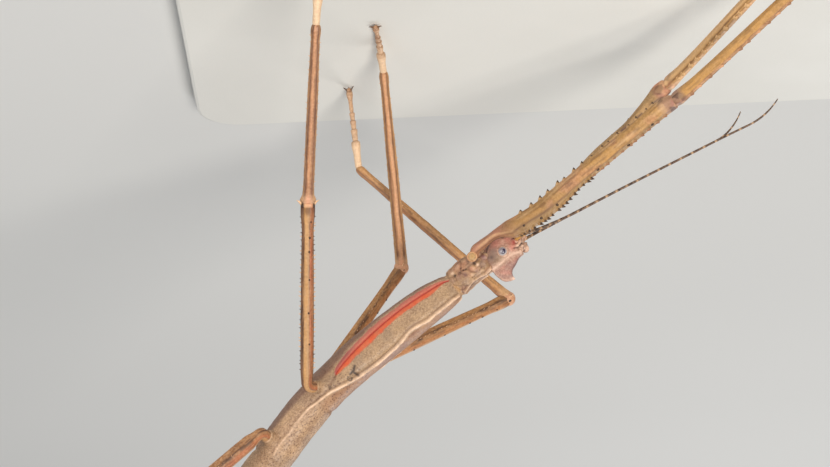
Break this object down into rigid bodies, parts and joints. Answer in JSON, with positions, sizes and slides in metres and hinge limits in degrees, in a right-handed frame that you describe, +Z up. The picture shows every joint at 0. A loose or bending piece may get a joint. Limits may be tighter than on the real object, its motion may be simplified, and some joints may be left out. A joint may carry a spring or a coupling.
{
  "type": "stick insect model",
  "caption": "Life-size still model of a large crested, spiny-legged stick insect reaching forward and down on long legs, on a flat display base",
  "frame": {"origin": "on the floor under the middle of the bounding box, at the underside of the base", "axes": "+Z up; the insect faces -X with its tail toward +X, its right side toward +Y, and the base's long side runs along X"},
  "size_m": [0.227, 0.1142, 0.1478],
  "materials": {
    "body": "tan and pinkish brown painted resin with a red stripe on each flank",
    "head": "pinkish brown painted resin",
    "eye": "glossy silver grey",
    "antenna": "dark brown with pale rings",
    "leg": "yellowish tan painted resin with dark-tipped teeth",
    "foot": "cream to brown painted resin",
    "base": "fibreboard painted matt off-white"
  },
  "bodies": {
    "root": {"head": "head", "eye_left": "eye", "eye_right": "eye", "antenna_left": "antenna", "antenna_right": "antenna", "prothorax": "body", "mesothorax": "body", "metathorax": "body", "abdomen_1": "body", "abdomen_2": "body", "abdomen_3": "body", "abdomen_4": "body", "femur_front_left": "leg", "tibia_front_left": "leg", "tarsus_front_left": "foot", "femur_front_right": "leg", "tibia_front_right": "leg", "tarsus_front_right": "foot", "femur_middle_left": "leg", "tibia_middle_left": "leg", "tarsus_middle_left": "foot", "femur_middle_right": "leg", "tibia_middle_right": "leg", "tarsus_middle_right": "foot", "femur_hind_left": "leg", "tibia_hind_left": "leg", "tarsus_hind_left": "foot", "femur_hind_right": "leg", "tibia_hind_right": "leg", "tarsus_hind_right": "foot", "stand_base": "base"}
  },
  "joints": []
}
